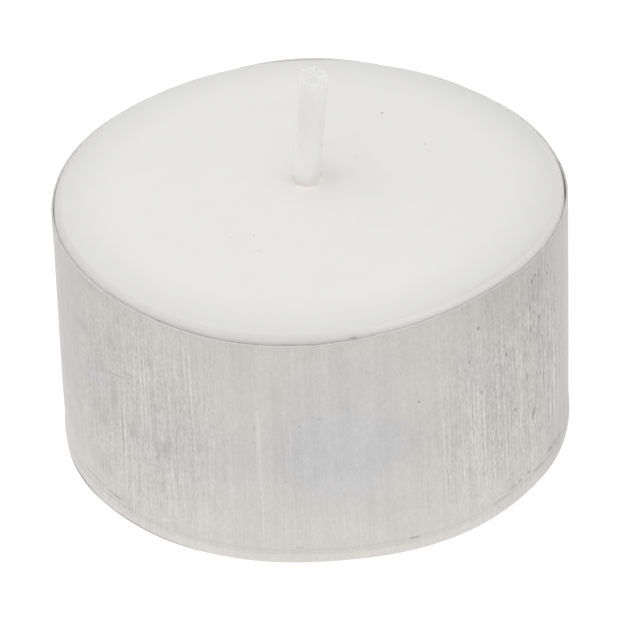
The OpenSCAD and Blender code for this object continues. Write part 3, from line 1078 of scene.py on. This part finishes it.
class TEALIGHT_OT_wick(Operator):
    """Braid the wick: upright in its hole, bent at the wax and cut off on a slant at its free end"""

    bl_idname = "tealight.wick"
    bl_label = "Waxed wick"

    def grow(self, move, steps):
        """Lengthens the open end in equal steps."""
        for _ in range(steps):
            bpy.ops.mesh.extrude_region_move(TRANSFORM_OT_translate={"value": move / steps})

    def execute(self, context):
        wick = context.scene.tealight_wick
        wax_z = context.scene.tealight_wax.top_z
        bend_end_z = wax_z - wick.bend_depth
        bend_start_z = bend_end_z - wick.bend_r * math.sin(wick.lean)
        ahead = Vector((math.sin(wick.lean), 0.0, math.cos(wick.lean)))
        bend_end = Vector((
            WICK_FOOT.x + wick.bend_r * (1 - math.cos(wick.lean)), WICK_FOOT.y, bend_end_z,
        ))
        free_l = (WICK_HIGH.z - bend_end_z) / ahead.z

        rest_selection()
        bpy.ops.mesh.primitive_circle_add(vertices=wick.sides, radius=wick.radius, location=WICK_FOOT)
        piece = bpy.context.object
        piece.name = "wick_braid"
        put_at_origin(piece)
        edit(piece)
        bpy.ops.mesh.select_all(action="SELECT")
        shown_from = bend_start_z - FINE_BELOW_BEND
        self.grow(Vector((0.0, 0.0, shown_from - WICK_FOOT.z)), HIDDEN_STEPS)
        self.grow(Vector((0.0, 0.0, bend_start_z - shown_from)), HIDDEN_STEPS)
        turn_steps = max(2, round(wick.bend_r * wick.lean / wick.ring_step))
        pivot = (WICK_FOOT.x + wick.bend_r, WICK_FOOT.y, bend_start_z)
        for _ in range(turn_steps):
            bpy.ops.mesh.extrude_region_move(TRANSFORM_OT_translate={"value": (0.0, 0.0, 0.0)})
            bpy.ops.transform.rotate(
                value=-wick.lean / turn_steps, orient_axis="Y", center_override=pivot,
            )
        self.grow(ahead * free_l, round(free_l / wick.ring_step))
        self.cut_end(piece, wick, bend_end, ahead)
        rest_selection()
        self.braid(piece, wick, bend_end, ahead, shown_from)
        finish = context.scene.tealight_finish
        finish_piece(piece, waxed_cotton(finish, wax_z, wick.lean), "wick", math.radians(50))
        return {"FINISHED"}

    def cut_end(self, piece, wick, bend_end, ahead):
        """Cuts the free end on a slant that falls to the front and right, and closes both ends."""
        slant = (ahead + CUT_FALLS * wick.cut_slope).normalized()
        high_side = -CUT_FALLS * wick.radius
        middle_l = (WICK_HIGH.z - wick.cut_drop - bend_end.z) / ahead.z
        cut_at = bend_end + ahead * middle_l + high_side
        bpy.ops.mesh.select_all(action="SELECT")
        bpy.ops.mesh.bisect(plane_co=cut_at, plane_no=slant, clear_outer=True)
        bpy.ops.mesh.select_all(action="DESELECT")
        bpy.ops.mesh.select_non_manifold()
        shape = bmesh.from_edit_mesh(piece.data)
        for vertex in shape.verts:
            if vertex.co.z < bend_end.z:
                vertex.select = False
        shape.select_flush_mode()
        bmesh.update_edit_mesh(piece.data)
        for rise, size in CAP_RINGS:
            bpy.ops.mesh.extrude_region_move(TRANSFORM_OT_translate={"value": ahead * rise * MM})
            ring = [v.co for v in bmesh.from_edit_mesh(piece.data).verts if v.select]
            middle = sum(ring, Vector()) / len(ring)
            bpy.ops.transform.resize(value=(size, size, size), center_override=middle)
        bpy.ops.mesh.edge_face_add()
        bpy.ops.mesh.select_all(action="DESELECT")
        pick(piece, lambda place: place.z < WICK_FOOT.z + 0.001 * MM)
        bpy.ops.mesh.edge_face_add()
        bpy.ops.mesh.select_all(action="SELECT")
        bpy.ops.mesh.normals_make_consistent(inside=False)

    def braid(self, piece, wick, bend_end, ahead, shown_from):
        """Raises the strands under their coat of wax, and frays the cut end a little."""
        side = Vector((ahead.z, 0.0, -ahead.x))
        free_l = (WICK_HIGH.z - bend_end.z) / ahead.z
        for vertex in piece.data.vertices:
            if vertex.co.z < shown_from:
                continue
            offset = vertex.co - bend_end
            along = offset.dot(ahead)
            if along < 0:
                centre = Vector((bend_end.x, bend_end.y, vertex.co.z))
            else:
                centre = bend_end + ahead * along
            out = vertex.co - centre
            around = math.atan2(out.y, out.dot(side))
            share_out = min(1.0, out.length / wick.radius)
            coat = min(1.0, max(0.0, free_l - along) / COAT_FADE)
            relief = (stitch(around, along, wick.columns, wick.strand_l) - 0.6) * coat
            round_place = (math.cos(around) * 1.2, math.sin(around) * 1.2, along / MM * 0.5)
            lumps = noise.noise(Vector(round_place))
            flare = wick.flare * max(0.0, along / free_l) ** 1.5
            swell = wick.strand_h * relief + LUMP_H * lumps + flare
            if out.length > 0.3 * MM:
                vertex.co += out.normalized() * swell * share_out ** 6
            if along > free_l - FRAY_L and share_out < 0.97:
                vertex.co += ahead * noise.noise(vertex.co / FRAY_GRAIN) * FRAY_H


# Chips of wax on the rim: (degrees from the front, radius, height, length, width, thickness) in mm
RIM_CHIPS = (
    (-50.0, 18.86, 19.50, 0.24, 0.10, 0.06),
    (-36.0, 18.88, 19.42, 0.34, 0.09, 0.05),
    (-12.3, 18.90, 19.36, 0.26, 0.10, 0.06),
    (-9.2, 18.90, 19.35, 0.22, 0.10, 0.07),
    (8.6, 18.90, 19.55, 0.50, 0.10, 0.07),
    (70.0, 18.80, 19.78, 0.50, 0.10, 0.07),
)


class TEALIGHT_OT_chips(Operator):
    """Scatter the small chips of wax that cling to the rim"""

    bl_idname = "tealight.chips"
    bl_label = "Wax chips"

    def chip(self, place, size, around, seed):
        """One small irregular chip, long side along the rim."""
        bpy.ops.object.select_all(action="DESELECT")
        bpy.ops.mesh.primitive_ico_sphere_add(
            subdivisions=3, radius=0.5, location=place, rotation=(0.0, 0.0, around), scale=size,
        )
        chip = bpy.context.object
        put_at_origin(chip)
        edit(chip)
        bpy.ops.mesh.select_all(action="SELECT")
        bpy.ops.transform.vertex_random(offset=0.10 * min(size), uniform=0.3, normal=0.7, seed=seed)
        rest_selection()
        return chip

    def execute(self, context):
        chips = []
        for seed, (degrees, radius, height, *size) in enumerate(RIM_CHIPS):
            around = math.radians(degrees)
            place = at_angle(around, radius * MM, height * MM)
            chips.append(self.chip(place, Vector(size) * MM, around, seed))
        rest_selection()
        for chip in chips:
            chip.select_set(True)
        bpy.context.view_layer.objects.active = chips[0]
        bpy.ops.object.join()
        piece = bpy.context.object
        piece.name = "wax_chips"
        material = bpy.data.materials["paraffin_wax"]
        finish_piece(piece, material, None, math.radians(60))
        return {"FINISHED"}


class TEALIGHT_OT_sustainer(Operator):
    """Finish the steel disc that holds the wick's foot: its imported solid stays, in tinned steel"""

    bl_idname = "tealight.sustainer"
    bl_label = "Wick sustainer"

    def execute(self, context):
        node = frame["nodes"]["wick_sustainer"]
        node.data.materials.clear()
        node.data.materials.append(tinned_steel(context.scene.tealight_finish))
        return {"FINISHED"}


class TEALIGHT_OT_stage(Operator):
    """Set the stage: a plain pale floor, soft even light, one soft lamp and the camera"""

    bl_idname = "tealight.stage"
    bl_label = "Stage"

    def floor(self, stage):
        rest_selection()
        bpy.ops.mesh.primitive_circle_add(vertices=128, radius=stage.floor_r, fill_type="NGON")
        floor = bpy.context.object
        floor.name = "floor"
        material = bpy.data.materials.new("pale_floor")
        material.use_nodes = True
        shader = material.node_tree.nodes["Principled BSDF"]
        looks = {
            "Base Color": (0.20, 0.20, 0.20, 1.0),
            "Roughness": 0.9,
            "Specular IOR Level": 0.0,
            "Emission Color": (1.0, 1.0, 1.0, 1.0),
            "Emission Strength": stage.floor_glow,
        }
        for key, value in looks.items():
            shader.inputs[key].default_value = value
        floor.data.materials.append(material)

    def light(self, scene, stage):
        world = bpy.data.worlds.new("even_sky")
        world.use_nodes = True
        background = world.node_tree.nodes["Background"]
        background.inputs["Color"].default_value = (1.0, 1.0, 1.0, 1.0)
        background.inputs["Strength"].default_value = stage.sky
        scene.world = world
        bpy.ops.object.light_add(type="AREA", location=stage.lamp_place)
        lamp = bpy.context.object
        lamp.name = "soft_lamp"
        lamp.data.shape = "SQUARE"
        lamp.data.size = stage.lamp_size
        lamp.data.energy = stage.lamp_power
        aim = Vector((0.0, 0.0, stage.focus_z)) - Vector(stage.lamp_place)
        lamp.rotation_euler = aim.to_track_quat("-Z", "Y").to_euler()

    def camera(self, scene, stage):
        backward = Vector((0.0, -math.cos(stage.elevation), math.sin(stage.elevation)))
        level = Vector((1.0, 0.0, 0.0))
        upright = backward.cross(level)
        right = math.cos(stage.roll) * level + math.sin(stage.roll) * upright
        up = math.cos(stage.roll) * upright - math.sin(stage.roll) * level
        target = Vector((0.0, 0.0, stage.focus_z)) + stage.aim_x * right + stage.aim_y * up
        eye = target + stage.distance * backward
        bpy.ops.object.camera_add()
        camera = bpy.context.object
        camera.name = "camera"
        axes = Matrix((right, up, backward)).transposed()
        camera.matrix_world = Matrix.Translation(eye) @ axes.to_4x4()
        camera.data.lens = stage.focal * camera.data.sensor_width
        camera.data.clip_start = 0.01
        camera.data.clip_end = 20.0
        scene.camera = camera

    def execute(self, context):
        stage = context.scene.tealight_stage
        self.floor(stage)
        self.light(context.scene, stage)
        self.camera(context.scene, stage)
        context.scene.view_settings.view_transform = "Standard"
        return {"FINISHED"}


class TEALIGHT_PT_sidebar(Panel):
    """Lists the candle's pieces and their sizes."""

    bl_idname = "TEALIGHT_PT_sidebar"
    bl_label = "Tea Light Candle"
    bl_space_type = "VIEW_3D"
    bl_region_type = "UI"
    bl_category = "Tea Light"

    def draw(self, context):
        for operator, settings in STEPS:
            box = self.layout.box()
            box.operator(operator.bl_idname)
            if settings:
                group = getattr(context.scene, settings)
                for name in group.__annotations__:
                    box.prop(group, name)


STEPS = (
    (TEALIGHT_OT_stage, "tealight_stage"),
    (TEALIGHT_OT_cup, "tealight_cup"),
    (TEALIGHT_OT_wax, "tealight_wax"),
    (TEALIGHT_OT_wick, "tealight_wick"),
    (TEALIGHT_OT_chips, None),
    (TEALIGHT_OT_sustainer, "tealight_finish"),
)
GROUPS = {
    "tealight_cup": CupSettings,
    "tealight_wax": WaxSettings,
    "tealight_wick": WickSettings,
    "tealight_finish": FinishSettings,
    "tealight_stage": StageSettings,
}
CLASSES = (*GROUPS.values(), *(operator for operator, _ in STEPS), TEALIGHT_PT_sidebar)


def register():
    for item in CLASSES:
        bpy.utils.register_class(item)
    for name, group in GROUPS.items():
        setattr(bpy.types.Scene, name, PointerProperty(type=group))


def unregister():
    for name in GROUPS:
        delattr(bpy.types.Scene, name)
    for item in reversed(CLASSES):
        bpy.utils.unregister_class(item)


def main():
    """Models the candle."""
    register()
    bpy.ops.tealight.stage()
    bpy.ops.tealight.cup()
    bpy.ops.tealight.wax()
    bpy.ops.tealight.wick()
    bpy.ops.tealight.chips()
    bpy.ops.tealight.sustainer()


if __name__ == "__main__":
    main()
